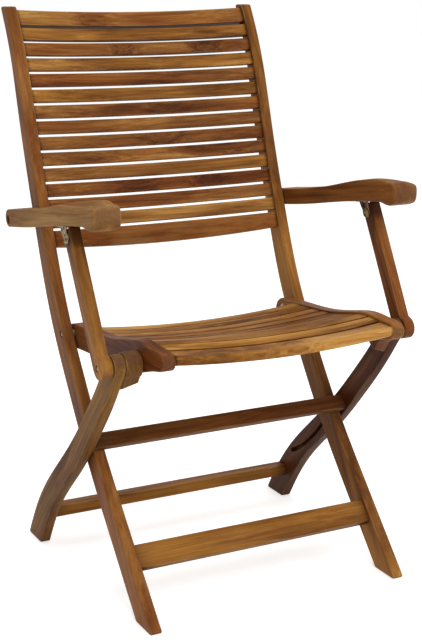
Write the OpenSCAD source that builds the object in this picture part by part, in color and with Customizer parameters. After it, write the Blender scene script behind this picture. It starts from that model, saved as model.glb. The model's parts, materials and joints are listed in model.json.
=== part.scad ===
// Folding wooden armchair: curved stiles, slatted bowed back, slatted dished seat,
// rear legs that ride on pins, and arms carried by folding supports.
// X is the width, Y runs from the front to the back and Z is up from the floor.
// Side outlines are drawn with the stile's toe at zero and centred front to back later.
// Left is at negative X, as the chair is seen from the front.

/* [Overall] */
// Height of the stiles above the floor
chair_height = 932; // [915:1:950]
// Distance between the inner faces of the two stiles
stile_gap = 440; // [420:1:480]

/* [Stiles] */
// Thickness of a stile, side to side
stile_thick = 20.2; // [18:0.1:24]
// Depth of a stile at the foot
stile_foot = 44.4; // [40:0.1:50]
// Depth of a stile at seat height
stile_seat = 39; // [36:0.1:42]
// Depth of a stile behind the arms
stile_arm = 32.5; // [31:0.1:36]
// Depth of a stile at its top end
stile_tip = 22; // [18:0.1:28]
// Lean of a stile above the horizontal at the foot, in degrees
stile_lean_foot = 47; // [46:0.1:48.5]
// Lean of a stile below the seat
stile_lean_seat = 54.1; // [52:0.1:56]
// Lean of a stile at the arms
stile_lean_arm = 68.6; // [67:0.1:70]
// Lean of a stile behind the shoulders
stile_lean_back = 72.5; // [71:0.1:74]
// Lean of a stile at its top end
stile_lean_tip = 59.5; // [56:0.1:64]

/* [Pivots] */
// Height of the seat pivot above the floor
seat_pivot_height = 406; // [402:0.5:410]
// Distance of the seat pivot behind the front edge of the stile
seat_pivot_inset = 9.3; // [8.5:0.1:14]
// Distance of the front pivot ahead of the seat pivot
pivot_span = 262; // [256:0.5:268]
// Rise of the front pivot above the seat pivot
pivot_rise = 14; // [10:0.5:18]
// Height of the arm pivot above the floor
arm_pivot_height = 586.8; // [580:0.1:592]
// Distance of the arm pivot ahead of the back edge of the stile
arm_pivot_inset = 7; // [7:0.1:12]
// Height of the groove pin above the floor
pin_height = 237; // [233:0.5:241]
// Distance of the groove pin behind the middle of the stile
pin_set_back = 6.4; // [3:0.1:9]
// Turn of the seat from open to folded, in degrees
fold_angle = 72; // [60:1:72]
// Turn of the rear legs for each degree of seat turn
leg_turn = 0.665; // [0.655:0.001:0.675]

/* [Rear legs] */
// Thickness of a rear leg, side to side
leg_thick = 19; // [18:0.1:22]
// Gap between a stile and its rear leg
leg_gap = 5; // [4:0.1:8]
// Radius of the rounded top of a rear leg
leg_top_radius = 21; // [19:0.1:23]
// Depth of a rear leg under its rounded top
leg_neck = 37; // [34:0.1:40]
// Depth of a rear leg above its groove
leg_waist = 39; // [37:0.1:42]
// Depth of a rear leg at its middle
leg_middle = 41.7; // [40:0.1:46]
// Depth of a rear leg at its foot
leg_foot = 50.5; // [46:0.1:54]
// Slope of a rear leg below the front pivot, in degrees
leg_slope_top = 55.5; // [55:0.1:56]
// Slope of a rear leg at the groove
leg_slope_groove = 48.9; // [48.4:0.1:49.4]
// Slope of a rear leg behind the stile
leg_slope_low = 42; // [41.4:0.1:42.6]
// Slope of a rear leg at the floor
leg_slope_foot = 59.2; // [57:0.1:61]
// Length of the spacer block below the front pivot, beside the rear leg
spacer_length = 38; // [30:0.5:46]
// Length of the spacer block below the front pivot, beside the seat rail
spacer_short = 26; // [24:0.5:30]
// Depth of the groove in the inner face of a rear leg
groove_depth = 10; // [8:0.1:12]
// Turn that the groove is cut beyond each end of the fold, in degrees
groove_extra = 5; // [2:0.5:6]

/* [Arms] */
// Width of an arm
arm_width = 46.8; // [44:0.1:54]
// Depth of an arm at its rear end
arm_rear = 29.5; // [28:0.1:33]
// Depth of an arm at its support
arm_middle = 28.7; // [27:0.1:30]
// Rise of the hand's top above the line of the arm
arm_rise = 10; // [6:0.1:12]
// Drop of the hand's underside below the line of the arm
arm_drop = 6.5; // [4:0.1:8]
// Depth of an arm at its front tip
arm_tip = 37; // [33:0.1:40]
// Reach of an arm ahead of its support pivot
arm_reach = 106; // [98:1:115]
// Distance of the arm's rear end behind its pivot
arm_tail = 0; // [0:0.1:4]
// Rise of the middle of the arm's rear end above its pivot
arm_tail_rise = 3.3; // [1:0.1:4.5]
// Slope of the arm at its rear end against the line of its pivots, in degrees
arm_slope_rear = 5; // [4.6:0.1:5.4]
// Slope of the arm over its middle against the line of its pivots
arm_slope_middle = 7.8; // [7.4:0.1:8.2]
// Slope of the arm at the hand against the line of its pivots
arm_slope_hand = 4.6; // [3:0.1:6]
// Slope of the arm at its tip against the line of its pivots
arm_slope_tip = 4; // [3:0.1:5]
// Distance ahead of the support pivot at which the arm's line takes the slope of the hand
arm_wrist = 28; // [20:1:36]
// Distance ahead of the support pivot at which the underside of the hand starts to drop
hand_under = 66; // [60:1:72]
// Distance ahead of the support pivot at which the underside of the hand is lowest
hand_low = 96; // [90:1:97]
// Distance behind the support pivot at which the top of the hand starts to rise
hand_rise = 110; // [100:1:120]
// Distance ahead of the support pivot at which the top of the hand is highest
hand_top = 70; // [62:1:78]
// Radius of the crown that lowers the outer side of the hand
arm_crown = 80; // [60:1:100]
// Distance of the crown's top line from the arm's inner face
arm_crown_inset = 5; // [2:0.5:12]
// Slope of the crown against the hand, downwards to the front, in degrees
arm_crown_tilt = 2; // [0.5:0.1:3]
// Radius of the rounded front corners of an arm, seen from above
arm_corner = 10; // [5:0.5:12]

/* [Arm supports] */
// Thickness of an arm support, side to side
support_thick = 19; // [17:0.1:22]
// Width of an arm support
support_width = 27.6; // [25:0.1:29]
// Radius of the rounded lower end of an arm support
support_foot_radius = 20; // [18:0.1:21]
// Distance of the middle of that round ahead of the lower pivot
support_foot_ahead = 3.5; // [1:0.1:4]
// Offset of the support's middle behind its lower pivot
support_foot_offset = 2.4; // [0:0.1:3]
// Offset of the support's middle ahead of its upper pivot
support_head_offset = 3; // [2:0.1:4]
// Length of an arm support above its upper pivot
support_head = 12; // [9:0.1:12.2]

/* [Seat] */
// Thickness of a seat rail, side to side
rail_thick = 22; // [19:0.1:24]
// Gap between a seat rail and the stile
rail_gap = 3; // [2:0.1:5]
// Depth of a seat rail at its rear end
rail_rear = 41.5; // [39:0.1:44]
// Depth of a seat rail where it is slimmest, ahead of the seat pivot
rail_waist = 40.7; // [38:0.1:43]
// Depth of a seat rail at the front pivot
rail_front = 50.5; // [47:0.1:53]
// Depth of a seat rail at its nose
rail_nose = 29; // [26:0.1:32]
// Distance of the rail's rear end behind the seat pivot
rail_tail = 9; // [5:0.1:12]
// Drop of the middle of the rail's rear end below the seat pivot
rail_drop = 6; // [3:0.1:8]
// Reach of the rail's nose ahead of the front pivot
rail_reach = 80.5; // [74:0.5:84]
// Slope of the rail at its rear end against the line of its pivots, in degrees
rail_slope_rear = 2.2; // [1.8:0.1:2.6]
// Slope of the rail behind the front pivot against the line of its pivots
rail_slope_front = 8.3; // [7.9:0.1:8.7]
// Slope of the rail at its nose against the line of its pivots
rail_slope_nose = 1; // [0:0.1:2]
// Distance behind the front pivot at which the rail takes its steepest slope
rail_crest = 22; // [16:1:28]
// Distance behind the front pivot at which the rail is deepest
rail_belly = 6; // [2:1:12]
// Number of seat slats
seat_slats = 10; // [8:1:10]
// Distance from one seat slat to the next
seat_pitch = 30.6; // [29:0.1:32]
// Gap between two seat slats
seat_slat_gap = 3; // [2:0.1:6]
// Thickness of a seat slat
seat_slat_thick = 11; // [9:0.1:12]
// Extra width of the front seat slat, towards the front
seat_front_extra = 9; // [4:0.5:10]
// Thickness of the front seat slat
seat_front_thick = 15; // [13:0.1:17]
// Radius of the front seat slat's nose
seat_front_nose = 5.5; // [3:0.1:6]
// Depth of the seat slats below the rail's top edge at the rear
seat_recess_rear = 2.5; // [1:0.1:4]
// Depth of the seat slats below the rail's top edge at the front
seat_recess_front = 4.5; // [3:0.1:6]
// Sag of the seat slats at mid width
seat_sag = 10.5; // [4:0.5:14]
// Distance of the first seat slat's front edge ahead of the middle of the rail's nose
seat_slat_start = 2; // [0:0.1:4]

/* [Backrest] */
// Number of back slats
back_slats = 13; // [10:1:13]
// Distance from one back slat to the next, along the stile
back_pitch = 27.2; // [25:0.1:27.8]
// Gap between two back slats
back_slat_gap = 5; // [2:0.1:6]
// Thickness of a back slat
back_slat_thick = 9; // [8:0.1:11]
// Depth of the backrest behind the front edge of the stiles
back_recess = 4; // [3:0.1:5]
// Bow of the back slats at mid width
back_bow = 12; // [6:0.5:18]
// Thickness of the crest rail and the bottom rail of the back
crest_thick = 15; // [13:0.1:17]
// Radius of the crest rail's upper edges
crest_nose = 4; // [2:0.5:6]
// Width of the crest rail, along the stile
crest_height = 29; // [26:0.5:38]
// Height above the floor of the stile's middle at the crest rail's lower edge
crest_bottom = 897; // [888:0.5:900]
// Height of the bottom rail at its ends
back_rail_height = 32; // [26:0.5:40]
// Extra height of the bottom rail at mid width
back_rail_belly = 6; // [2:0.5:10]

/* [Stretchers] */
// Height of the stile's middle where the front stretcher joins it
front_stretcher_height = 84; // [76:1:96]
// Width of the front stretcher
front_stretcher_width = 41.5; // [38:0.5:50]
// Thickness of the front stretcher
front_stretcher_thick = 16; // [12:0.5:20]
// Depth of the front stretcher behind the front edge of the stiles
front_stretcher_recess = 6.5; // [3:0.5:12]
// Height at which the middle stretcher meets the stiles
middle_stretcher_height = 248; // [243:0.5:252]
// Width of the middle stretcher
middle_stretcher_width = 26.5; // [24:0.5:30]
// Thickness of the middle stretcher
middle_stretcher_thick = 16; // [14:0.5:18]
// Height of the rear stretcher above the floor
rear_stretcher_height = 59; // [54:0.5:70]
// Distance of the rear stretcher behind the middle of the rear legs
rear_stretcher_set_back = 8.5; // [4:0.5:10]
// Width of the rear stretcher, front to back
rear_stretcher_width = 26; // [22:0.5:28]
// Thickness of the rear stretcher, bottom to top
rear_stretcher_thick = 20; // [16:0.5:22]

/* [Fittings] */
// Diameter of the pivot bolts
bolt = 6; // [5:0.1:7]
// Diameter of the pivot bolt heads
bolt_head = 13; // [11:0.1:14]
// Height of the pivot bolt heads
bolt_head_height = 3.2; // [2:0.1:3.6]
// Diameter of the bolt heads sunk in the stiles and the arm supports
sunk_head = 10; // [8:0.1:10.4]
// Gap round a sunk bolt head
sunk_gap = 0.5; // [0.3:0.1:0.6]
// Depth of a sunk bolt head's crown below the wood
sunk_depth = 0.3; // [0.1:0.1:1]
// Diameter of the groove pins
pin = 7.6; // [6:0.1:8]
// Diameter of the counterbore for the arm bolt
counterbore = 15; // [14.4:0.1:18]
// Depth of the counterbore for the arm bolt
counterbore_depth = 12; // [6:0.5:20]
// Gap between the end of a groove pin and the bottom of its groove
pin_end_gap = 1; // [0.5:0.1:2]
// Thickness of the arm bracket's steel sheet
sheet = 1.8; // [1.5:0.1:2]
// Length of the arm bracket's plate under the arm
bracket_length = 36; // [30:0.5:46]
// Radius of the arm bracket's ears round the rivet
ear_radius = 10.5; // [8:0.1:11]
// Length of the bracket's ears where they meet its plate
ear_root = 26; // [20:0.5:30]
// Distance of the plate's front end ahead of the support pivot
plate_ahead = 3; // [0:0.5:5]
// Diameter of the arm bracket's rivet
rivet = 5; // [4:0.1:6]
// Diameter of the rivet's head
rivet_head = 9.5; // [7:0.1:11]
// Height of the rivet's head
rivet_head_height = 1.8; // [1:0.1:2.5]
// Diameter of the rivet's closed end, beside the rear leg
rivet_tail = 7.5; // [6:0.1:9]
// Height of the rivet's closed end
rivet_tail_height = 0.5; // [0.3:0.1:0.6]
// Diameter of a bracket screw's head
screw_head = 6.4; // [5:0.1:7]
// Height of a bracket screw's head
screw_head_height = 1.6; // [1:0.1:2.2]
// Diameter of a bracket screw
screw = 3.2; // [2.6:0.1:4]
// Length of a bracket screw in the arm
screw_length = 15; // [10:0.5:18]
// Distance of a bracket screw from the bracket's side
screw_inset = 6.5; // [5:0.1:8]
// Distance of the bracket screws from the plate's rear end
screw_back = 8; // [6:0.5:12]

/* [Joints and clearances] */
// Length of the stub tenons of the slats and rails
tenon = 7; // [4:0.5:9]
// Shoulder round the stub tenons
shoulder = 2; // [1:0.1:2.5]
// Radius of the eased edges of the slats
ease = 1.6; // [0.5:0.1:2]
// Radial running clearance round the pivot bolts
run = 0.06; // [0.03:0.01:0.1]
// Side gap between faces that turn against each other
side_gap = 0.2; // [0.15:0.01:0.4]
// Gap between a rear leg and the arm bracket
ear_gap = 0.8; // [0.8:0.1:2]
// Gap between a stile and its arm
arm_gap = 1.8; // [1:0.1:3]
// Depth of a screw hole past the screw's end
screw_gap = 0.5; // [0.3:0.1:2]
// Gap between the groove's walls and its pin
groove_gap = 0.4; // [0.3:0.05:0.6]
// Gap between the middle stretcher and the stiles that stop it
stop_gap = 0.3; // [0.2:0.05:0.5]

/* [Hidden] */

// Value between named stations, eased so that a curve has no corner there
function station(s, k) = max([0, for (j = [0:len(k) - 2]) if (s >= k[j][0]) j]);
function share(s, a, b) = min(max((s - a) / (b - a), 0), 1);
function blend(a, b, t) = a + (b - a) * (1 - cos(180 * t)) / 2;
function eased(s, k) =
    let (i = station(s, k))
    blend(k[i][1], k[i + 1][1], share(s, k[i][0], k[i + 1][0]));

// A point moved along a heading, to the left of it, or turned about another point
function along(p, a, d) = p + d * [cos(a), sin(a)];
function beside(p, a, d) = p + d * [-sin(a), cos(a)];
function turned(p, c, a) = c + [
    (p[0] - c[0]) * cos(a) - (p[1] - c[1]) * sin(a),
    (p[0] - c[0]) * sin(a) + (p[1] - c[1]) * cos(a)];

// A run of points whose heading follows the stations in k
step = 20;
function run_of(p0, s0, s1, k, step = step) =
    let (n = ceil((s1 - s0) / step), d = (s1 - s0) / n)
    [for (i = 0, p = p0; i <= n; p = along(p, eased(s0 + (i + 0.5) * d, k), d), i = i + 1)
        [p[0], p[1], s0 + i * d]];
function edge_of(pts, k, w, side) =
    [for (p = pts) beside([p[0], p[1]], eased(p[2], k), side * eased(p[2], w) / 2)];
function back_to_front(list) = [for (i = [len(list) - 1:-1:0]) list[i]];
function band(pts, k, w) = two_sided(pts, k, w, w);
function two_sided(pts, k, left_w, right_w) =
    concat(edge_of(pts, k, right_w, -1), back_to_front(edge_of(pts, k, left_w, 1)));
function where(pts, s) = [
    lookup(s, [for (p = pts) [p[2], p[0]]]),
    lookup(s, [for (p = pts) [p[2], p[1]]])];

// A run goes on this far below the floor and above the chair, and is cut off there
spare = 60;
// Rounded ends stand a little proud of the sides and are centred inside them
swell = 0.3;
inset = 3;
// Reach of a cutting solid past the face that it cuts, and overlap of two shapes that join
past = 1;
hair = 0.01;
// Roundness of the long bows
fine = 720;

// Stile: places along it from the toe, then its heading, depth, run and edges
stile_foot_s = 180;
stile_seat_s = 430;
stile_arm_s = 700;
stile_back_s = 940;
stile_tip_s = 1100;
stile_waist_s = 480;
stile_shoulder_s = 880;
stile_k = [[-spare, stile_lean_foot], [stile_foot_s, stile_lean_foot],
    [stile_seat_s, stile_lean_seat], [stile_arm_s, stile_lean_arm],
    [stile_back_s, stile_lean_back], [stile_tip_s, stile_lean_tip]];
stile_w = [[-spare, stile_foot], [stile_waist_s, stile_seat], [stile_shoulder_s, stile_arm],
    [stile_tip_s, stile_tip]];
toe = [stile_foot / 2 / sin(stile_lean_foot), 0];
stile_run = run_of(along(toe, stile_lean_foot, -spare), -spare, stile_tip_s + spare, stile_k);
stile_front = edge_of(stile_run, stile_k, stile_w, 1);
stile_back = edge_of(stile_run, stile_k, stile_w, -1);
function at_height(pts, z) = lookup(z, [for (p = pts) [p[1], p[0]]]);
function stile_s(z) = lookup(z, [for (p = stile_run) [p[1], p[2]]]);

// Pivots in side view
seat_pivot = [at_height(stile_front, seat_pivot_height) + seat_pivot_inset, seat_pivot_height];
front_pivot = seat_pivot + [-pivot_span, pivot_rise];
arm_pivot = [at_height(stile_back, arm_pivot_height) - arm_pivot_inset, arm_pivot_height];
support_pivot = front_pivot + arm_pivot - seat_pivot;
groove_pin = [at_height(stile_run, pin_height) + pin_set_back, pin_height];
link_angle = 180 - atan2(pivot_rise, pivot_span);
support_angle = atan2(arm_pivot[1] - seat_pivot[1], arm_pivot[0] - seat_pivot[0]);

// Rear leg: places along it from the front pivot, then its heading, depth and run
leg_groove_s = 150;
leg_low_s = 330;
leg_foot_s = 560;
leg_k = [[0, -leg_slope_top], [leg_groove_s, -leg_slope_groove], [leg_low_s, -leg_slope_low],
    [leg_foot_s, -leg_slope_foot]];
leg_w = [[0, leg_neck], [leg_groove_s, leg_waist], [leg_low_s, leg_middle],
    [leg_foot_s, leg_foot]];
leg_start = along(front_pivot, -leg_slope_top, -inset);
leg_run = run_of(leg_start, -inset, leg_foot_s + spare, leg_k);

// Groove: where the pin goes, as the leg sees it
function groove_point(q) = turned(groove_pin - turned(front_pivot, seat_pivot, -q)
    + front_pivot, front_pivot, leg_turn * q);
groove_steps = 24;
groove_step = (fold_angle + 2 * groove_extra) / groove_steps;
groove_run = [for (i = [0:groove_steps]) groove_point(-groove_extra + i * groove_step)];

// Seat rail: places along it from its rear end, then its heading, depth and run
rail_waist_s = 100;
rail_start = seat_pivot + [rail_tail, -rail_drop];
rail_length = rail_tail + pivot_span + rail_reach;
rail_crest_s = rail_tail + pivot_span - rail_crest;
rail_belly_s = rail_tail + pivot_span - rail_belly;
rail_k = [[0, link_angle - rail_slope_rear], [rail_waist_s, link_angle],
    [rail_crest_s, link_angle - rail_slope_front], [rail_length, link_angle - rail_slope_nose]];
rail_w = [[0, rail_rear], [rail_waist_s, rail_waist], [rail_belly_s, rail_front],
    [rail_length, rail_nose]];
rail_run = run_of(rail_start, 0, rail_length, rail_k);
rail_top = edge_of(rail_run, rail_k, rail_w, -1);
nose = where(rail_run, rail_length - inset);

// Arm: places along it from its rear end, then its heading, depth and run
arm_waist_s = 170;
arm_wrist_s = pivot_span + arm_wrist;
hand_under_s = pivot_span + hand_under;
hand_low_s = pivot_span + hand_low;
hand_rise_s = pivot_span - hand_rise;
hand_top_s = pivot_span + hand_top;
arm_start = arm_pivot + [arm_tail, arm_tail_rise];
arm_length = arm_tail + pivot_span + arm_reach;
arm_k = [[0, link_angle - arm_slope_rear], [arm_waist_s, link_angle - arm_slope_middle],
    [arm_wrist_s, link_angle - arm_slope_hand], [arm_length, link_angle - arm_slope_tip]];
arm_low = [[0, arm_rear], [hand_under_s, arm_middle], [hand_low_s, arm_middle + 2 * arm_drop],
    [arm_length, arm_tip]];
arm_top = [[0, arm_rear], [hand_rise_s, arm_middle], [hand_top_s, arm_middle + 2 * arm_rise],
    [arm_length, arm_tip]];
arm_run = run_of(arm_start, 0, arm_length, arm_k, step / 2);
arm_under = edge_of(arm_run, arm_k, arm_low, 1);
function under_arm(y) = lookup(y, [for (i = [len(arm_under) - 1:-1:0]) arm_under[i]]);

// Planes across the width, for the right side
stile_in = stile_gap / 2;
stile_out = stile_in + stile_thick;
leg_in = stile_out + leg_gap;
leg_out = leg_in + leg_thick;
rail_out = stile_in - rail_gap;
rail_in = rail_out - rail_thick;
ear_in = leg_out + ear_gap;
support_in = ear_in + sheet + side_gap;
support_out = support_in + support_thick;
ear_out = support_out + side_gap;
arm_in = stile_out + arm_gap;

// Front to back centring
front_y = min(0, nose[0] - rail_nose / 2);
back_y = at_height(stile_back, chair_height);
middle_y = (front_y + back_y) / 2;

$fn = 64;

// A side outline extruded across the width, from x to x + t
module slab(x, t) translate([x, -middle_y, 0]) rotate([90, 0, 90]) linear_extrude(t) children();
// A disc or pin across the width, and a bore that goes past both faces of a piece
module across(p, x, t, d) slab(x, t) translate(p) circle(d = d);
module bored(p, x, t, d) across(p, x - past, t + 2 * past, d);
// Counterbore for a sunk head in a face at x whose outside is towards greater x
head_room = bolt_head_height + sunk_depth;
module sunk(p, x) across(p, x - head_room, head_room + past, sunk_head + 2 * sunk_gap);
// The side view above the floor and below the top of the chair
module standing() translate([-spare, 0]) square(chair_height);
// A round end of diameter d on a band, centred at s along its run
module round_end(pts, s, d) translate(where(pts, s)) circle(d = d + 2 * swell);
module mirrored(left) mirror([left ? 1 : 0, 0, 0]) children();
// A frame whose Z follows heading a and whose Y points to the right of it
module framed(p, a) translate([0, p[0] - middle_y, p[1]]) rotate([a - 90, 0, 0]) children();

// Rectangle with eased corners: t across, h high, nose radius on the far end
module eased_section(t, h, r, nose_r) {
    translate([-t / 2 + r, -h / 2]) square([t - 2 * r, h / 2]);
    translate([-t / 2, -h / 2 + r]) square([t, h / 2 - r]);
    translate([-t / 2 + nose_r, -hair]) square([t - 2 * nose_r, h / 2 + hair]);
    translate([-t / 2, -hair]) square([t, h / 2 - nose_r + hair]);
    for (x = [-1, 1]) {
        translate([x * (t / 2 - r), -h / 2 + r]) circle(r);
        translate([x * (t / 2 - nose_r), h / 2 - nose_r]) circle(nose_r);
    }
}

// A board bent to a bow across the chair, cut square at both ends
module bowed(length, bow, h, t, nose_r) {
    radius = (length * length / 4 + bow * bow) / (2 * bow);
    turn = asin(length / 2 / radius) + past;
    intersection() {
        translate([0, bow - radius, 0]) rotate([0, 0, 90 - turn])
            rotate_extrude(angle = 2 * turn, $fn = fine)
                translate([radius, 0]) eased_section(t, h, ease, nose_r);
        translate([-length / 2, -radius / 2, -h]) cube([length, radius, 2 * h]);
    }
}
module end_tenons(length, h, t) {
    for (x = [-length / 2 - tenon, length / 2])
        translate([x, -t / 2 + shoulder, -h / 2 + shoulder])
            cube([tenon, t - 2 * shoulder, h - 2 * shoulder]);
}

// Colours of the slats, in turn
shade = ["#a3703f", "#8a5833", "#b07a3c", "#6f452b", "#96623a"];

// Back: places along the stile
function back_place(s, t) =
    beside(where(stile_run, s), eased(s, stile_k), eased(s, stile_w) / 2 - back_recess - t / 2);
crest_s = stile_s(crest_bottom);
function slat_s(i) = crest_s - back_pitch * (i - 0.5);
back_rail_s = crest_s - back_pitch * back_slats - back_rail_height / 2;
crest_mid = crest_s + back_slat_gap / 2 + crest_height / 2;
module at_back(s, t) framed(back_place(s, t), eased(s, stile_k)) children();
module crest_tenons() at_back(crest_mid, crest_thick) end_tenons(stile_gap, crest_height, crest_thick);
module back_slat_tenons(i)
    at_back(slat_s(i), back_slat_thick)
        end_tenons(stile_gap, back_pitch - back_slat_gap, back_slat_thick);
module back_rail_tenons()
    at_back(back_rail_s, crest_thick)
        end_tenons(stile_gap, back_rail_height - back_slat_gap, crest_thick);
module back_slat(i) {
    color(shade[i % len(shade)]) {
        at_back(slat_s(i), back_slat_thick)
            bowed(stile_gap, back_bow, back_pitch - back_slat_gap, back_slat_thick, ease);
        back_slat_tenons(i);
    }
}
module crest_rail() {
    color("#9a6438") {
        at_back(crest_mid, crest_thick)
            bowed(stile_gap, back_bow, crest_height, crest_thick, crest_nose);
        crest_tenons();
    }
}
module back_bottom_rail() {
    tall = back_rail_height - back_slat_gap + back_rail_belly;
    belly = (stile_gap * stile_gap / 4 + back_rail_belly * back_rail_belly)
        / (2 * back_rail_belly);
    color("#a46c3e") {
        intersection() {
            at_back(back_rail_s, crest_thick)
                translate([0, 0, -back_rail_belly / 2])
                    bowed(stile_gap, back_bow, tall, crest_thick, ease);
            at_back(back_rail_s, crest_thick)
                translate([0, 0, -tall / 2 - back_rail_belly / 2 + belly])
                    rotate([90, 0, 0])
                        cylinder(r = belly, h = 4 * (back_bow + crest_thick), center = true,
                            $fn = fine);
        }
        back_rail_tenons();
    }
}

// Front stretcher between the stiles
front_s = stile_s(front_stretcher_height);
front_at = beside(where(stile_run, front_s), eased(front_s, stile_k),
    eased(front_s, stile_w) / 2 - front_stretcher_recess - front_stretcher_thick / 2);
module front_tenons()
    framed(front_at, eased(front_s, stile_k))
        end_tenons(stile_gap, front_stretcher_width, front_stretcher_thick);
module bar(length, h, t)
    translate([-length / 2, 0, 0]) rotate([90, 0, 90]) linear_extrude(length)
        eased_section(t, h, ease, ease);
module front_stretcher() {
    color("#a8713f") {
        framed(front_at, eased(front_s, stile_k))
            bar(stile_gap, front_stretcher_width, front_stretcher_thick);
        front_tenons();
    }
}

// Middle stretcher, on the fronts of the stiles, and rear stretcher, between the leg feet
leg_span = 2 * leg_in;
middle_s = stile_s(middle_stretcher_height);
middle_at = beside([at_height(stile_front, middle_stretcher_height), middle_stretcher_height],
    eased(middle_s, stile_k), middle_stretcher_thick / 2 + stop_gap);
rear_at = [lookup(-rear_stretcher_height, [for (p = leg_run) [-p[1], p[0]]])
    + rear_stretcher_set_back,
    rear_stretcher_height];
module middle_tenons()
    framed(middle_at, eased(middle_s, stile_k))
        end_tenons(leg_span, middle_stretcher_width, middle_stretcher_thick);
module rear_tenons()
    framed(rear_at, 90) end_tenons(leg_span, rear_stretcher_thick, rear_stretcher_width);
module middle_stretcher() {
    color("#8f5c35") {
        framed(middle_at, eased(middle_s, stile_k))
            bar(leg_span, middle_stretcher_width, middle_stretcher_thick);
        middle_tenons();
    }
}
module rear_stretcher() {
    color("#7d4c2c") {
        framed(rear_at, 90) bar(leg_span, rear_stretcher_thick, rear_stretcher_width);
        rear_tenons();
    }
}

// Seat slats along the top edge of the rail, numbered from the front
function seat_s(i) = rail_length + seat_slat_start - seat_pitch * (i - 0.5);
function seat_heading(s) = atan2(
    where_top(s + step / 2)[1] - where_top(s - step / 2)[1],
    where_top(s + step / 2)[0] - where_top(s - step / 2)[0]);
function where_top(s) =
    where([for (i = [0:len(rail_run) - 1])
        [rail_top[i][0], rail_top[i][1], rail_run[i][2]]], s);
seat_width = 2 * rail_in;
recess_rear_s = 135;
recess_front_s = 217;
seat_recess = [[0, seat_recess_rear], [recess_rear_s, seat_recess_rear],
    [recess_front_s, seat_recess_front], [rail_length + step, seat_recess_front]];
function seat_thick(i) = i == 1 ? seat_front_thick : seat_slat_thick;
module at_seat(i)
    framed(beside(where_top(seat_s(i)), seat_heading(seat_s(i)),
        eased(seat_s(i), seat_recess) + seat_thick(i) / 2), seat_heading(seat_s(i))) children();
module seat_slat_tenons(i)
    at_seat(i) end_tenons(seat_width, seat_pitch - seat_slat_gap, seat_thick(i));
module seat_slat(i) {
    color(shade[2 * i % len(shade)]) {
        extra = i == 1 ? seat_front_extra : 0;
        at_seat(i) translate([0, 0, extra / 2]) mirror([0, 1, 0])
            bowed(seat_width, seat_sag, seat_pitch - seat_slat_gap + extra, seat_thick(i),
                i == 1 ? seat_front_nose : ease);
        seat_slat_tenons(i);
    }
}

module stile(left) {
    color("#8a5833") difference() {
        intersection() {
            slab(stile_in, stile_thick) polygon(band(stile_run, stile_k, stile_w));
            slab(stile_in, stile_thick) standing();
        }
        crest_tenons();
        for (i = [1:back_slats]) back_slat_tenons(i);
        back_rail_tenons();
        front_tenons();
        bored(seat_pivot, stile_in, stile_thick, bolt + 2 * run);
        sunk(seat_pivot, stile_out);
        bored(arm_pivot, stile_in, stile_thick, bolt + 2 * run);
        bored(groove_pin, stile_in, stile_thick, pin);
    }
}

module pin_in_groove()
    color("#6e6a64")
        across(groove_pin, stile_in, stile_thick + leg_gap + groove_depth - pin_end_gap, pin);

module seat_rail() {
    color("#6a4029") difference() {
        slab(rail_in, rail_thick) {
            polygon(band(rail_run, rail_k, rail_w));
            round_end(rail_run, inset, rail_rear);
            round_end(rail_run, rail_length - inset, rail_nose);
        }
        for (i = [1:seat_slats]) seat_slat_tenons(i);
        bored(seat_pivot, rail_in, rail_thick, bolt + 2 * run);
        bored(front_pivot, rail_in, rail_thick, bolt + 2 * run);
    }
}

module rear_leg() {
    color("#86603c") difference() {
        intersection() {
            slab(leg_in, leg_thick) {
                polygon(band(leg_run, leg_k, leg_w));
                translate(front_pivot) circle(leg_top_radius);
            }
            slab(leg_in, leg_thick) standing();
        }
        slab(leg_in - past, groove_depth + past) groove();
        middle_tenons();
        rear_tenons();
        bored(front_pivot, leg_in, leg_thick, bolt + 2 * run);
    }
}
// Groove outline: a band about the pin's way with a round end at each end
module groove() {
    width = pin + 2 * groove_gap;
    n = len(groove_run) - 1;
    heads = [for (i = [0:n]) let (a = groove_run[max(i - 1, 0)], b = groove_run[min(i + 1, n)])
        atan2(b[1] - a[1], b[0] - a[0])];
    polygon(concat(
        [for (i = [0:n]) beside(groove_run[i], heads[i], -width / 2)],
        [for (i = [n:-1:0]) beside(groove_run[i], heads[i], width / 2)]));
    translate(groove_run[0]) circle(d = width);
    translate(groove_run[n]) circle(d = width);
}

// Spacer: as long as it can be beside the leg, and cut back towards the rail
module spacer() {
    span = leg_in - rail_out - side_gap;
    cut = atan2(spacer_length - spacer_short, span);
    color("#5a3623") difference() {
        slab(rail_out + side_gap, span) {
            polygon(band(run_of(leg_start, -inset, spacer_length, leg_k), leg_k, leg_w));
            translate(front_pivot) circle(leg_top_radius);
        }
        framed(where(leg_run, spacer_short), -leg_slope_top)
            translate([rail_out + side_gap, 0, 0]) rotate([0, -cut, 0])
                translate([-leg_foot, -leg_foot, 0]) cube(2 * leg_foot);
        bored(front_pivot, rail_out, leg_in - rail_out, bolt + 2 * run);
    }
}

module arm_support() {
    along_it = norm(support_pivot - front_pivot) + support_head;
    half = support_width / 2;
    low = beside(front_pivot, support_angle, -support_foot_offset);
    high = beside(support_pivot, support_angle, support_head_offset);
    color("#7d5433") difference() {
        slab(support_in, support_thick) {
            polygon([
                beside(low, support_angle, half),
                beside(low, support_angle, -half),
                beside(along(high, support_angle, support_head), support_angle, -half),
                beside(along(high, support_angle, support_head), support_angle, half)]);
            translate(front_pivot - [support_foot_ahead, 0]) circle(support_foot_radius);
        }
        bored(front_pivot, support_in, support_thick, bolt + 2 * run);
        sunk(front_pivot, support_out);
        bored(support_pivot, support_in, support_thick, rivet + 2 * run);
    }
}

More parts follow.
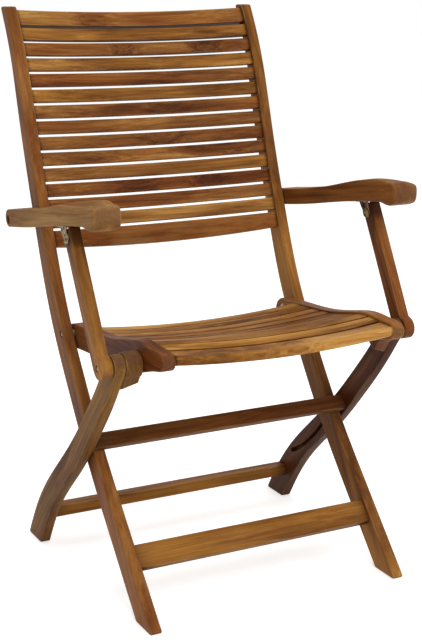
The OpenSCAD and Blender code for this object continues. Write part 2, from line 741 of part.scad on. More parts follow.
// Arm: side outline, crowned across the hand, with rounded front corners
module arm_plan() {
    tip = where(arm_run, arm_length - inset)[0] - middle_y - arm_tip / 2 - swell;
    tail = where(arm_run, inset)[0] - middle_y + arm_rear / 2 + swell;
    translate([arm_in, tip + arm_corner]) square([arm_width, tail - tip - arm_corner]);
    translate([arm_in + arm_corner, tip]) square([arm_width - 2 * arm_corner, arm_width]);
    for (x = [arm_in + arm_corner, arm_in + arm_width - arm_corner])
        translate([x, tip + arm_corner]) circle(arm_corner);
}
// Section that the crown leaves: a quarter of a large round, with the rest of the arm below it
module crown() {
    intersection() {
        translate([0, -arm_crown]) circle(arm_crown, $fn = fine);
        translate([-arm_width, -arm_crown]) square([2 * arm_width, arm_crown]);
    }
    translate([-arm_width, -arm_crown - arm_width]) square(2 * arm_width);
}
module arm() {
    hand = beside(where(arm_run, hand_top_s), link_angle, -arm_middle / 2 - arm_rise);
    head_x = arm_in + arm_width - counterbore_depth;
    color("#86603c") difference() {
        intersection() {
            slab(arm_in, arm_width) {
                polygon(two_sided(arm_run, arm_k, arm_low, arm_top));
                round_end(arm_run, inset, arm_rear);
                round_end(arm_run, arm_length - inset, arm_tip);
            }
            framed(hand, link_angle - arm_slope_hand + arm_crown_tilt)
                translate([arm_in + arm_crown_inset, 0, 0])
                    linear_extrude(2 * arm_length, center = true) crown();
            linear_extrude(chair_height) arm_plan();
        }
        bored(arm_pivot, arm_in, arm_width, bolt + 2 * run);
        across(arm_pivot, head_x, counterbore_depth + past, counterbore);
        for (x = screw_xs) screw_place(x)
            translate([0, 0, -past]) cylinder(d = screw, h = screw_length + screw_gap + past);
    }
}

// Arm bracket: a bent steel channel, its plate under the arm and its ears beside the support
plate_from = support_pivot[0] - plate_ahead;
plate_to = plate_from + bracket_length;
plate_slope = atan2(under_arm(plate_to) - under_arm(plate_from), plate_to - plate_from);
plate_at = [plate_from, under_arm(plate_from)];
screw_y = plate_to - screw_back;
screw_xs = [ear_in + screw_inset, ear_out + sheet - screw_inset];
module screw_place(x)
    translate([x, screw_y - middle_y, plate_at[1] + (screw_y - plate_from) * tan(plate_slope)])
        rotate([plate_slope, 0, 0]) children();
module arm_bracket() {
    plate_width = ear_out + sheet - ear_in;
    color("#3c3a38") difference() {
        union() {
            slab(ear_in, plate_width) translate(plate_at) rotate(plate_slope)
                translate([0, -sheet]) square([bracket_length, sheet]);
            for (x = [ear_in, ear_out]) slab(x, sheet) {
                translate(support_pivot) circle(ear_radius);
                polygon([
                    support_pivot + [-ear_radius, 0],
                    support_pivot + [ear_radius, 0],
                    along(plate_at, plate_slope, ear_root) - [0, sheet / 2],
                    plate_at - [0, sheet / 2]]);
            }
        }
        bored(support_pivot, ear_in, plate_width, rivet);
        for (x = screw_xs) screw_place(x)
            translate([0, 0, -sheet - past]) cylinder(d = screw, h = sheet + 2 * past);
    }
}
module bracket_screws() {
    color("#55524e") for (x = screw_xs) screw_place(x) {
        translate([0, 0, -sheet]) cylinder(d = screw, h = sheet + screw_length);
        translate([0, 0, -sheet]) mirror([0, 0, 1]) dome(screw_head, screw_head_height);
    }
}
// A low domed head on the XY plane, d across and h high
module dome(d, h) {
    radius = (d * d / 4 + h * h) / (2 * h);
    rotate_extrude() intersection() {
        translate([0, h - radius]) circle(radius, $fn = fine);
        square([d, h]);
    }
}
module head_out(p, x, d, h) translate([x, p[0] - middle_y, p[1]]) rotate([0, 90, 0]) dome(d, h);
module head_in(p, x, d, h) translate([x, p[0] - middle_y, p[1]]) rotate([0, -90, 0]) dome(d, h);
module bracket_rivet() {
    color("#4a4744") {
        across(support_pivot, ear_in, ear_out + sheet - ear_in, rivet);
        head_out(support_pivot, ear_out + sheet, rivet_head, rivet_head_height);
        head_in(support_pivot, ear_in, rivet_tail, rivet_tail_height);
    }
}

// Pivot bolts: a shank between two heads, with a loose washer where the wood pieces stand apart
module washer(p, x, t)
    slab(x, t) translate(p) difference() {
        circle(d = bolt_head);
        circle(d = bolt + 2 * run);
    }
module seat_pivot_bolt() {
    across(seat_pivot, rail_in, stile_out - head_room - rail_in, bolt);
    head_in(seat_pivot, rail_in, bolt_head, bolt_head_height);
    head_out(seat_pivot, stile_out - head_room, sunk_head, bolt_head_height);
    washer(seat_pivot, rail_out, rail_gap);
}
module front_pivot_bolt() {
    across(front_pivot, rail_in, support_out - head_room - rail_in, bolt);
    head_in(front_pivot, rail_in, bolt_head, bolt_head_height);
    head_out(front_pivot, support_out - head_room, sunk_head, bolt_head_height);
    washer(front_pivot, leg_out, support_in - leg_out);
}
module arm_pivot_bolt() {
    head_x = arm_in + arm_width - counterbore_depth;
    across(arm_pivot, stile_in, head_x - stile_in, bolt);
    head_in(arm_pivot, stile_in, bolt_head, bolt_head_height);
    head_out(arm_pivot, head_x, bolt_head, bolt_head_height);
    washer(arm_pivot, stile_out, arm_in - stile_out);
}
module pair() {
    children();
    mirror([1, 0, 0]) children();
}

mirrored(true) stile();  // left_stile
mirrored(false) stile();  // right_stile
crest_rail();
for (i = [1:back_slats])
    back_slat(i);
back_bottom_rail();
front_stretcher();
mirrored(true) pin_in_groove();  // left_groove_pin
mirrored(false) pin_in_groove();  // right_groove_pin
mirrored(true) seat_rail();  // left_seat_rail
mirrored(false) seat_rail();  // right_seat_rail
for (i = [1:seat_slats])
    seat_slat(i);
mirrored(true) rear_leg();  // left_rear_leg
mirrored(false) rear_leg();  // right_rear_leg
mirrored(true) spacer();  // left_spacer
mirrored(false) spacer();  // right_spacer
middle_stretcher();
rear_stretcher();
mirrored(true) arm();  // left_arm
mirrored(false) arm();  // right_arm
mirrored(true) arm_support();  // left_arm_support
mirrored(false) arm_support();  // right_arm_support
mirrored(true) arm_bracket();  // left_arm_bracket
mirrored(false) arm_bracket();  // right_arm_bracket
mirrored(true) bracket_screws();  // left_bracket_screws
mirrored(false) bracket_screws();  // right_bracket_screws
mirrored(true) bracket_rivet();  // left_bracket_rivet
mirrored(false) bracket_rivet();  // right_bracket_rivet
color("#6a6762") pair() seat_pivot_bolt();  // seat_pivot_bolts
color("#6a6762") pair() front_pivot_bolt();  // front_pivot_bolts
color("#6a6762") pair() arm_pivot_bolt();  // arm_pivot_bolts
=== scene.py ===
"""Folding wooden armchair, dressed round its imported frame.

Wood pieces are rebuilt as rounded meshes from the frame's own outlines, so each stays where the
frame says, and share one grain material family. Metal fittings keep the frame's meshes.
"""
import json
import math
import random

import bmesh
import bpy
import numpy as np
from mathutils import Matrix, Vector


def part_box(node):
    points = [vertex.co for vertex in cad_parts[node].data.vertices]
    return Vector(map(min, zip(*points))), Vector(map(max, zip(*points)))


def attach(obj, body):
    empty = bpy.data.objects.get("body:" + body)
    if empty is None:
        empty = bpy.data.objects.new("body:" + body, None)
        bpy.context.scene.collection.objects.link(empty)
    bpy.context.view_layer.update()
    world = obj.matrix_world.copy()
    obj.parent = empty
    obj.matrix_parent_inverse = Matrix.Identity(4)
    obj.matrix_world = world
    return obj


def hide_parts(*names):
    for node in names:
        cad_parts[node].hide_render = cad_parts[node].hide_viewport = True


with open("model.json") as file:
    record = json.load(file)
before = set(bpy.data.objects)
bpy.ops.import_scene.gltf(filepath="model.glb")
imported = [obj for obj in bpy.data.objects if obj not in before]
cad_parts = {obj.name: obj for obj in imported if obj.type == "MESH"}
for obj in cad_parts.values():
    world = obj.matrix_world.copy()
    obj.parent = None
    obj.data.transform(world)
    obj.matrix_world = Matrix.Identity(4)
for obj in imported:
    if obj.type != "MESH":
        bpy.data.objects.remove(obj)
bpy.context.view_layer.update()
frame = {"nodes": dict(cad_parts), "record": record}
RECORD = frame["record"]
BODY = {node: body for body, nodes in RECORD["behaviour"]["bodies"].items() for node in nodes}
SLOT = {part["node"]: part["material_slot"] for part in RECORD["subparts"]}
SIDES = ("left", "right")
MM = 0.001

# Camera: place in metres, direction in degrees, lens and optical axis in pixels of the photograph
PHOTO_WIDTH = 422
PHOTO_HEIGHT = 640
CAMERA_AT = (-1.04845, -2.02461, 1.0017)
CAMERA_YAW = 27.38
CAMERA_PITCH = -18.13
CAMERA_ROLL = 0.30
CAMERA_FOCAL = 1354.5
CAMERA_AXIS = (201.57, 408.30)
SENSOR = 36.0

# Edges: radius of the eased edges of the wood and of the supports' own, how finely a radius is
# divided, how far from a slat's corners its worn and its narrow faces reach, and, on remade
# blocks, the angle between a point and its faces at which wear starts, and how much more of it
# makes full wear
EDGE = 2.2 * MM
SUPPORT_EDGE = 1.8 * MM
EDGE_STEPS = 4
WORN_REACH = 1.4 * MM
NARROW_REACH = 0.5 * MM
WORN_FROM = 0.07
WORN_SPAN = 0.15
# Outlines: step between points, closest points, closest to a corner's end, turn that makes a
# corner, steepest turn that is reckoned with, share of a run that a corner may take, rounds of
# smoothing of open runs and of closed outlines, and how finely a corner is divided
OUTLINE_STEP = 5 * MM
POINT_GAP = 0.2 * MM
CORNER_GAP = 0.3 * OUTLINE_STEP
CORNER_TURN = math.radians(24)
STEEPEST_TURN = 2.6
CORNER_SHARE = 0.48
OPEN_ROUNDS = 8
CLOSED_ROUNDS = 6
CORNER_POINTS = 7
# The frame's meshes: distance within which points are one, or lie in a plane
SAME_POINT = 1e-6
SAME_PLANE = 2e-5
# Least width and depth of a counterbore, least room between a groove's floor and its pin's tip,
# least side of a section that can set its direction, and turn that makes an edge sharp
BORE_WIDTH = 9 * MM
BORE_DEPTH = 1 * MM
TIP_ROOM = 0.4 * MM
LEAST_SIDE = 3 * MM
SHARP_TURN = math.radians(50)

# Corners of the outlines, in the side view: their radii, how far the stiles' shoulders reach down
# from their tops, and their toes back from their front ends
BOARD_CORNER = 3 * MM
LEG_CORNER = 4 * MM
STILE_CORNER = 5 * MM
TOE_CORNER = 4.6 * MM
SUPPORT_CORNER = 2.5 * MM
SHOULDER_REACH = 50 * MM
TOE_REACH = 10 * MM
# Blocks that are remade in cells: cell, rounds of smoothing, and more rounds at the hands
SPACER_CELL = 1.2 * MM
SPACER_ROUNDS = 16
ARM_CELL = 1.3 * MM
ARM_ROUNDS = 7
HAND_ROUNDS = 36
# Slats: how far they go into the boards at their ends, and into how many parts they are divided
BURY = 0.4 * MM
BOWED_PARTS = 60
STRAIGHT_PARTS = 12

# The way the grain runs in each kind of piece
STILE_RUN = (0, 0.52, 0.85)
LEG_RUN = (0, 0.66, -0.75)
RAIL_RUN = (0, 1, -0.05)
SPACER_RUN = (0, 0.57, -0.82)
SUPPORT_RUN = (0, 0.58, 0.81)
ARM_RUN = (0, 0.985, -0.17)
SLAT_RUN = (1, 0, 0)
# Each piece is cut from a place of its own in the wood's pattern, within this many metres
GRAIN_ROOM = 40
# How squarely a face must cut the grain to show end grain, and how much more shows all of it
END_FROM = 0.55
END_SPAN = 0.35

# Grain pattern: cycles per metre along the grain, across it and into the board, and then detail,
# roughness and distortion of the noise
WAVES = ((2.6, 14, 14), 2.0, 0.5)
BANDS = ((1.9, 42, 42), 3.0, 0.55)
STREAKS = ((5.0, 210, 210), 4.0, 0.62, 0.2)
LINES = ((12, 800, 800), 3.0, 0.6)
PORES = ((70, 2300, 2300), 2.0, 0.5)
DRIFTS = ((4.2, 9, 9), 2.0)
HUES = ((2.8, 24, 24), 2.0)
WEAR = ((16, 60, 60), 2.0)
# Cells that can hold a knot, random colour from which one does, and reach of its surroundings and
# of its core
KNOT_CELLS = (3.3, 15, 15)
KNOT_CHOSEN = (0.74, 0.78)
KNOT_NEAR = (0.46, 0.06)
KNOT_CORE = (0.19, 0.04)
# How far the waves and the knots push the grain aside, in metres
WAVE_PUSH = 0.034
KNOT_PUSH = 0.020
# Ranges of the noises over which the colours drift, pores open, edges are worn and sheen varies
HUE_RANGE = (0.38, 0.64)
PORE_RANGE = (0.58, 0.72)
WEAR_RANGE = (0.40, 0.66)
SHEEN_RANGE = (0.25, 0.8)
# How far each part of the pattern moves a board along its colours
BAND_PULL = 1.6
STREAK_PULL = 1.3
LINE_PULL = 0.55
DRIFT_PULL = 1.2
KNOT_PULL = -0.30
# Painted shade on slats' narrow sides and supports' heads moves a board this far along its colours
PAINTED_SHADE_PULL = -0.35
# Strength and colour of the tints over knots, pores, the painted shade of narrow sides and of
# support heads, cut ends and worn edges
CORE_TINT = (0.80, "241006")
PORE_TINT = (0.34, "2e1507")
PAINTED_SHADE_TINT = (0.45, "2e1609")
END_TINT = (0.62, "5a3b2a")
WORN_TINT = (0.30, "b78a52")
# Roughness and reflection of oiled and of worn wood, and how much rougher or smoother than the
# board its streaks and pores are
OILED_ROUGH = 0.45
OILED_SHINE = 0.08
WORN_ROUGH = 0.52
WORN_SHINE = 0.03
STREAK_DULL = 0.07
STREAK_GLOSS = 0.05
PORE_DULL = 0.18
# Relief: share of pores, lines and knots, its strength and its depth
PORE_HEIGHT = -0.55
LINE_HEIGHT = 0.6
CORE_HEIGHT = -0.6
RELIEF = 0.40
RELIEF_DEPTH = 0.25 * MM

# Steel: noises of its stains and scratches, range over which it stains, how much the stains
# roughen it, and its relief
STAINS = ((160, 160, 160), 4.0, 0.6)
SCRATCHES = ((900, 4200, 900), 3.0, 0.6)
STAIN_RANGE = (0.40, 0.60)
STAIN_DULL = 0.25
STEEL_RELIEF = 0.25
STEEL_DEPTH = 0.1 * MM
METALLIC = 0.9

# Stage: side and height of the floor, its grey, how much it glows for the camera, and light of
# the surround
FLOOR_SIDE = 30
FLOOR_HEIGHT = -0.2 * MM
FLOOR_GREY = 0.90
FLOOR_GLOW = 0.46
SURROUND_LIGHT = 0.62
WHITE = (1, 1, 1, 1)
# Soft lamps: place, aim, side in metres and power in watts
LAMPS = {
    "key": ((-0.4, -2.9, 3.0), (0, 0, 0.45), 2.0, 62),
    "fill": ((2.6, -1.8, 1.6), (0, 0, 0.5), 2.0, 18),
    "top": ((0.4, 1.2, 3.2), (0, 0, 0.5), 2.4, 22),
}


# Colours

def srgb(text):
    """Linear colour of a hex code such as 8a5a34."""
    values = [int(text[i:i + 2], 16) / 255 for i in (0, 2, 4)]
    return tuple(v / 12.92 if v <= 0.04045 else ((v + 0.055) / 1.055) ** 2.4 for v in values) + (1,)


# Node trees

class Tree:
    """Short names for the shader nodes of a material or a world."""

    def __init__(self, owner):
        owner.use_nodes = True
        self.owner = owner
        self.nodes = owner.node_tree.nodes
        self.links = owner.node_tree.links
        self.nodes.clear()

    def put(self, socket, value):
        if isinstance(value, bpy.types.NodeSocket):
            self.links.new(value, socket)
        else:
            socket.default_value = value

    def node(self, kind, inputs=(), **settings):
        made = self.nodes.new(kind)
        for key, value in settings.items():
            setattr(made, key, value)
        for key, value in dict(inputs).items():
            self.put(made.inputs[key], value)
        return made

    def attribute(self, name, output="Fac"):
        return self.node("ShaderNodeAttribute", attribute_name=name).outputs[output]

    def math(self, kind, a, b=0.0, c=0.0):
        return self.node("ShaderNodeMath", {0: a, 1: b, 2: c}, operation=kind).outputs[0]

    def scaled(self, vector, factors):
        made = self.node("ShaderNodeVectorMath", {0: vector, 1: factors}, operation="MULTIPLY")
        return made.outputs[0]

    def added(self, a, b):
        return self.node("ShaderNodeVectorMath", {0: a, 1: b}, operation="ADD").outputs[0]

    def noise(self, vector, cycles, detail, roughness=0.5, distortion=0.0):
        made = self.node("ShaderNodeTexNoise", {
            "Vector": self.scaled(vector, cycles), "Scale": 1.0, "Detail": detail,
            "Roughness": roughness, "Distortion": distortion})
        return made.outputs["Fac"]

    def spread(self, value, low, high, out_low=0.0, out_high=1.0):
        """A soft step from out_low at low to out_high at high."""
        made = self.node("ShaderNodeMapRange", {
            "Value": value, "From Min": low, "From Max": high, "To Min": out_low,
            "To Max": out_high}, interpolation_type="SMOOTHSTEP")
        return made.outputs[0]

    def mix(self, share, a, b):
        """Colour a with a share of colour b. The node's colours are its sockets 6, 7 and 2."""
        made = self.node("ShaderNodeMix", {0: share, 6: a, 7: b}, data_type="RGBA")
        return made.outputs[2]

    def ramp(self, value, colours):
        """Evenly spaced colours along a value from 0 to 1."""
        made = self.node("ShaderNodeValToRGB", {"Fac": value})
        made.color_ramp.interpolation = "B_SPLINE"
        points = made.color_ramp.elements
        while len(points) < len(colours):
            points.new(0.5)
        for i, (point, colour) in enumerate(zip(points, colours)):
            point.position = i / (len(colours) - 1)
            point.color = srgb(colour)
        return made.outputs[0]

    def seen(self):
        """1 where the camera sees the surface, directly, in a gloss or through glass."""
        path = self.node("ShaderNodeLightPath").outputs
        indirect = self.math("MAXIMUM", path["Is Glossy Ray"], path["Is Transmission Ray"])
        return self.math("MAXIMUM", path["Is Camera Ray"], indirect)

    def finish(self, **inputs):
        names = {"colour": "Base Color", "roughness": "Roughness", "normal": "Normal",
                 "metallic": "Metallic", "specular": "Specular IOR Level"}
        shader = self.node("ShaderNodeBsdfPrincipled")
        for key, value in inputs.items():
            self.put(shader.inputs[names[key]], value)
        self.node("ShaderNodeOutputMaterial", {0: shader.outputs[0]})
        return self.owner


def wood(name, colours, others, share, rough=OILED_ROUGH, shine=OILED_SHINE):
    """Oiled hardwood. The grain attribute gives metres along, across and into the board, tone
    shifts a piece along the colours, figure scales its pattern, knot adds dark patches, edge
    marks eased edges, side is painted shade on the narrow sides of slats and on the heads of the
    arm supports, and endgrain marks cut ends. The board drifts from its colours to the others, by
    share at most. rough is its roughness, shine its reflection."""
    t = Tree(bpy.data.materials.new(name))
    grain = t.attribute("grain", "Vector")
    # side: painted shade on the narrow sides of slats and on the heads of the arm supports
    side = t.attribute("side")
    # Slow waves of the grain, stronger round the knots
    wave = t.noise(grain, *WAVES)
    knot = t.node("ShaderNodeTexVoronoi", {
        "Vector": t.scaled(grain, KNOT_CELLS), "Scale": 1.0, "Randomness": 1.0})
    rare = t.node("ShaderNodeSeparateColor", {0: knot.outputs["Color"]}).outputs[0]
    chosen = t.spread(rare, *KNOT_CHOSEN)
    near = t.math("MULTIPLY", t.spread(knot.outputs["Distance"], *KNOT_NEAR), chosen)
    near = t.math("MAXIMUM", near, t.attribute("knot"))
    core = t.math("MULTIPLY", t.spread(knot.outputs["Distance"], *KNOT_CORE), chosen)
    push = t.math("MULTIPLY_ADD", wave, WAVE_PUSH, t.math("MULTIPLY", near, KNOT_PUSH))
    shift = t.node("ShaderNodeCombineXYZ", {"X": 0.0, "Y": push, "Z": push}).outputs[0]
    bent = t.added(grain, shift)
    # Broad bands, streaks and fine lines that run along the board, and slow drifts of its colour
    bands = t.noise(bent, *BANDS)
    streaks = t.noise(bent, *STREAKS)
    lines = t.noise(bent, *LINES)
    drift = t.noise(grain, *DRIFTS)
    hue = t.spread(t.noise(bent, *HUES), *HUE_RANGE, 0.0, share)
    value = t.math("MULTIPLY", t.math("SUBTRACT", bands, 0.5), BAND_PULL)
    for pattern, pull in ((streaks, STREAK_PULL), (lines, LINE_PULL), (drift, DRIFT_PULL)):
        value = t.math("MULTIPLY_ADD", t.math("SUBTRACT", pattern, 0.5), pull, value)
    value = t.math("MULTIPLY_ADD", value, t.attribute("figure"), t.attribute("tone"))
    value = t.math("MULTIPLY_ADD", near, KNOT_PULL, value)
    # Painted shade darkens the narrow sides of slats and the heads of the supports
    value = t.math("MULTIPLY_ADD", side, PAINTED_SHADE_PULL, value)
    colour = t.mix(hue, t.ramp(value, colours), t.ramp(value, others))
    # Darker knots and pores, painted shade on sides and heads, brown end grain, paler worn edges
    pores = t.spread(t.noise(grain, *PORES), *PORE_RANGE)
    patches = t.spread(t.noise(grain, *WEAR), *WEAR_RANGE)
    worn = t.math("MULTIPLY", t.attribute("edge"), patches)
    for place, (strength, tint) in ((core, CORE_TINT), (pores, PORE_TINT), (side, PAINTED_SHADE_TINT),
                                    (t.attribute("endgrain"), END_TINT), (worn, WORN_TINT)):
        colour = t.mix(t.math("MULTIPLY", place, strength), colour, srgb(tint))
    # Satin sheen, duller in the pores, and a shallow relief of lines, pores and knots
    roughness = t.spread(streaks, *SHEEN_RANGE, rough + STREAK_DULL, rough - STREAK_GLOSS)
    roughness = t.math("MULTIPLY_ADD", pores, PORE_DULL, roughness)
    height = t.math("MULTIPLY_ADD", pores, PORE_HEIGHT, t.math("MULTIPLY", lines, LINE_HEIGHT))
    height = t.math("MULTIPLY_ADD", core, CORE_HEIGHT, height)
    bump = t.node("ShaderNodeBump", {
        "Strength": RELIEF, "Distance": RELIEF_DEPTH, "Height": height})
    return t.finish(colour=colour, roughness=roughness, normal=bump.outputs[0], specular=shine)


def steel(name, base, stain, rough, tarnish):
    """Plain fitting steel with fine scratches, and dull stains as strong as tarnish."""
    t = Tree(bpy.data.materials.new(name))
    place = t.node("ShaderNodeTexCoord").outputs["Object"]
    stains = t.noise(place, *STAINS)
    scratches = t.noise(place, *SCRATCHES)
    colour = t.mix(t.spread(stains, *STAIN_RANGE, 0.0, tarnish), srgb(base), srgb(stain))
    roughness = t.math("MULTIPLY_ADD", stains, STAIN_DULL, rough)
    bump = t.node("ShaderNodeBump", {
        "Strength": STEEL_RELIEF, "Distance": STEEL_DEPTH,
        "Height": t.math("ADD", scratches, stains)})
    return t.finish(colour=colour, roughness=roughness, normal=bump.outputs[0], metallic=METALLIC)


# Colours of each kind of wood, from its darkest to its palest streaks
BROWN = ("3e1d09", "5c3311", "7b4c23", "95652e", "b28546")
REDDISH = ("381505", "562a0c", "723c15", "8b5120", "aa7539")
GOLDEN = ("57320e", "7b4d1b", "996529", "b6823d", "d2a35c")
TAN = ("4a2d0f", "66441d", "815c2f", "98703e", "b08a55")
DARK = ("220f05", "371707", "4a280d", "5e391a", "79502c")

WOODS = {
    "brown": wood("oiled_wood_brown", BROWN, REDDISH, 0.8),
    "reddish": wood("oiled_wood_reddish", REDDISH, BROWN, 0.6),
    "golden": wood("oiled_wood_golden", GOLDEN, BROWN, 0.9),
    "tan": wood("weathered_wood_tan", TAN, BROWN, 0.5, WORN_ROUGH),
    "dark": wood("oiled_wood_dark", DARK, REDDISH, 0.4),
    "seat_brown": wood("worn_wood_brown", BROWN, REDDISH, 0.8, WORN_ROUGH, WORN_SHINE),
    "seat_golden": wood("worn_wood_golden", GOLDEN, BROWN, 0.9, WORN_ROUGH, WORN_SHINE),
}
STEELS = {
    "bolt_steel": steel("bolt_steel", "a49c8e", "6b563f", 0.32, 0.6),
    "bracket_steel": steel("bracket_steel", "9a8460", "2c2013", 0.36, 1.0),
}

# Wood family of each piece and how light it is in that family, from one end of its grain to the
# other: slats and bars left to right, stiles and supports bottom to top, arms and rails front to
# rear, and rear legs top to foot
BACK_TONES = ("golden 0.28 0.34", "brown 0.57 0.39", "golden 0.73 0.26", "brown 0.52 0.28",
              "golden 0.54 0.24", "brown 0.59 0.53", "brown 0.54 0.42", "brown 0.74 0.36",
              "brown 0.57 0.64", "golden 0.70 0.29", "reddish 0.50 0.48", "brown 0.54 0.54",
              "golden 0.43 0.80")
SEAT_TONES = ("golden 0.45 0.98", "seat_golden 0.73 0.59", "seat_golden 0.26 0.62",
              "seat_golden 0.82 0.24", "seat_golden 0.88 0.36", "seat_brown 0.51 0.62",
              "seat_brown 0.54 0.53", "seat_golden 0.55 0.27", "seat_golden 0.72 0.49",
              "seat_golden 0.62 0.53")
TONES = {
    "left_stile": "brown 0.52 0.48", "right_stile": "golden 0.66 0.22 0.26 0.27 0.28 0.32",
    "crest_rail": "brown 0.64 0.50", "back_bottom_rail": "reddish 0.45 0.72",
    "front_stretcher": "golden 0.44 0.32", "middle_stretcher": "dark 0.57 0.74",
    "rear_stretcher": "golden 0.26 0.33", "left_seat_rail": "reddish 0.43 0.26 0.36 0.52",
    "right_seat_rail": "brown 0.74 0.38", "left_rear_leg": "tan 0.43 0.33",
    "right_rear_leg": "dark 0.46 0.41", "left_spacer": "tan 0.45", "right_spacer": "reddish 0.28",
    "left_arm": "tan 0.60 0.47", "right_arm": "brown 0.56 0.38",
    "left_arm_support": "golden 0.54 0.48 0.42 0.37 0.35 0.34 0.33 0.33 0.33 0.33 0.33 0.30",
    "right_arm_support": "brown 0.42 0.42 0.42 0.42 0.42 0.44 0.46 0.49 0.52 0.52 0.50 0.44",
}
TONES.update({f"back_slat_{i}": tone for i, tone in enumerate(BACK_TONES, 1)})
TONES.update({f"seat_slat_{i}": tone for i, tone in enumerate(SEAT_TONES, 1)})
# Strength of the wood's pattern on posts and on slats, how much painted shade the narrow
# sides of slats take in the gaps, and dark knots: piece, place across the chair, size and depth
POST_FIGURE = 0.55
SLAT_FIGURE = 0.80
BACK_SLAT_PAINTED_SHADE = 0.4
DEEP_PAINTED_SHADE = 1.0
KNOTS = {
    "back_slat_2": ((0.13, 0.030, 1.0), (-0.03, 0.020, 0.5)),
    "back_slat_6": ((0.04, 0.035, 0.5),),
    "back_slat_8": ((0.02, 0.040, 0.7),),
    "back_slat_9": ((0.16, 0.040, 0.6),),
    "back_slat_11": ((-0.05, 0.045, 0.5), (0.10, 0.030, 0.6)),
    "seat_slat_1": ((-0.115, 0.050, 1.0), (-0.05, 0.030, 0.8), (0.02, 0.025, 0.6)),
    "crest_rail": ((-0.08, 0.035, 0.4),),
}
# Painted shade on the heads of the supports, under the arms: how far it reaches and its fade
HEAD_SHADOW_REACH = 36 * MM
HEAD_SHADOW_FADE = 13 * MM


# Pieces

def grain_of(mesh, node, run):
    """Where each vertex lies in its wood, in metres along run, across it and into the board."""
    side = Vector((1, 0, 0)) if abs(run.x) < 0.5 else Vector((0, 0, 1))
    into = run.cross(side).normalized()
    across = into.cross(run).normalized()
    seed = random.Random(node)
    start = Vector([seed.uniform(0, GRAIN_ROOM) for _ in range(3)])
    turn = Matrix((run, across, into))
    return np.array([turn @ v.co + start for v in mesh.vertices], dtype=np.float32)


def add_piece(node, bm, run):
    """Makes the wood piece that stands for a frame node. run is the way its grain goes."""
    mesh = bpy.data.meshes.new(node + "_wood")
    bm.normal_update()
    bm.to_mesh(mesh)
    marks = {}
    # Worn edges, and painted shade on the narrow sides of slats
    for name in ("edge", "side"):
        layer = bm.verts.layers.float.get(name)
        marks[name] = np.array([v[layer] if layer else 0.0 for v in bm.verts])
    bm.free()
    family, *tones = TONES[node].split()
    run = Vector(run).normalized()
    grain = grain_of(mesh, node, run)
    layer = mesh.attributes.new("grain", "FLOAT_VECTOR", "POINT")
    layer.data.foreach_set("vector", grain.ravel())
    along = (grain[:, 0] - grain[:, 0].min()) / np.ptp(grain[:, 0])
    marks["tone"] = np.interp(along, np.linspace(0, 1, len(tones)), [float(t) for t in tones])
    # Painted shade: the heads of the supports darken where the arms shade them
    if node.endswith("_arm_support"):
        from_head = grain[:, 0].max() - grain[:, 0]
        marks["side"] = np.clip((HEAD_SHADOW_REACH - from_head) / HEAD_SHADOW_FADE, 0, 1)
    figure = SLAT_FIGURE if "slat" in node or "crest" in node else POST_FIGURE
    marks["figure"] = np.full(len(grain), figure)
    marks["knot"] = np.zeros(len(grain))
    across_chair = np.array([v.co.x for v in mesh.vertices])
    for x, size, depth in KNOTS.get(node, ()):
        spot = depth * np.exp(-((across_chair - x) / size) ** 2)
        marks["knot"] = np.maximum(marks["knot"], spot)
    normal = np.array([v.normal for v in mesh.vertices], dtype=np.float32)
    ends = np.abs(normal @ np.array(run, dtype=np.float32))
    marks["endgrain"] = np.clip((ends - END_FROM) / END_SPAN, 0, 1)
    for name, values in marks.items():
        layer = mesh.attributes.new(name, "FLOAT", "POINT")
        layer.data.foreach_set("value", values.astype(np.float32))
    mesh.materials.append(WOODS[family])
    mesh.shade_smooth()
    piece = bpy.data.objects.new(node + "_wood", mesh)
    bpy.context.scene.collection.objects.link(piece)
    weighted = piece.modifiers.new("weighted_normals", "WEIGHTED_NORMAL")
    weighted.weight = 100
    weighted.keep_sharp = True
    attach(piece, BODY[node])
    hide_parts(node)


def joined(node):
    """A bmesh of a frame node with its split vertices merged."""
    bm = bmesh.new()
    bm.from_mesh(frame["nodes"][node].data)
    bmesh.ops.remove_doubles(bm, verts=bm.verts, dist=SAME_POINT)
    return bm


def area_of(loop):
    """The area inside an outline, below zero where it runs clockwise."""
    y, z = loop[:, 0], loop[:, 1]
    return 0.5 * float(np.sum(y * np.roll(z, -1) - np.roll(y, -1) * z))


def loops_at(node, x):
    """The closed outlines (y, z) of a node's flat faces in the plane at x, largest first."""
    bm = joined(node)
    flat = {f for f in bm.faces if all(abs(v.co.x - x) < SAME_PLANE for v in f.verts)}
    ways = {}
    for e in bm.edges:
        if len([f for f in e.link_faces if f in flat]) == 1:
            a, b = e.verts
            ways.setdefault(a, []).append(b)
            ways.setdefault(b, []).append(a)
    loops = []
    while ways:
        start = next(iter(ways))
        loop, here, before = [], start, None
        while here in ways:
            loop.append((here.co.y, here.co.z))
            onward = [v for v in ways.pop(here) if v is not before and v in ways]
            before = here
            if not onward:
                break
            here = onward[0]
        loops.append(np.array(loop))
    bm.free()
    loops = [loop if area_of(loop) > 0 else loop[::-1] for loop in loops if len(loop) > 2]
    return sorted(loops, key=lambda loop: -abs(area_of(loop)))


def thinned(loop, least):
    """The loop without points closer together than least."""
    kept = [loop[0]]
    for point in loop[1:]:
        if np.linalg.norm(point - kept[-1]) > least:
            kept.append(point)
    if np.linalg.norm(kept[0] - kept[-1]) < least:
        kept.pop()
    return np.array(kept)


def even(points):
    """Points at an even spacing of about OUTLINE_STEP along an open run."""
    lengths = np.r_[0, np.cumsum(np.linalg.norm(np.diff(points, axis=0), axis=1))]
    count = max(int(round(lengths[-1] / OUTLINE_STEP)), 1)
    places = np.linspace(0, lengths[-1], count + 1)
    return np.c_[np.interp(places, lengths, points[:, 0]), np.interp(places, lengths, points[:, 1])]


def settled(points, rounds):
    """An open run smoothed between its two ends: in each round, every point moves half way to the
    middle of its neighbours."""
    points = points.copy()
    for _ in range(rounds):
        if len(points) > 2:
            points[1:-1] += 0.5 * ((points[:-2] + points[2:]) / 2 - points[1:-1])
    return points


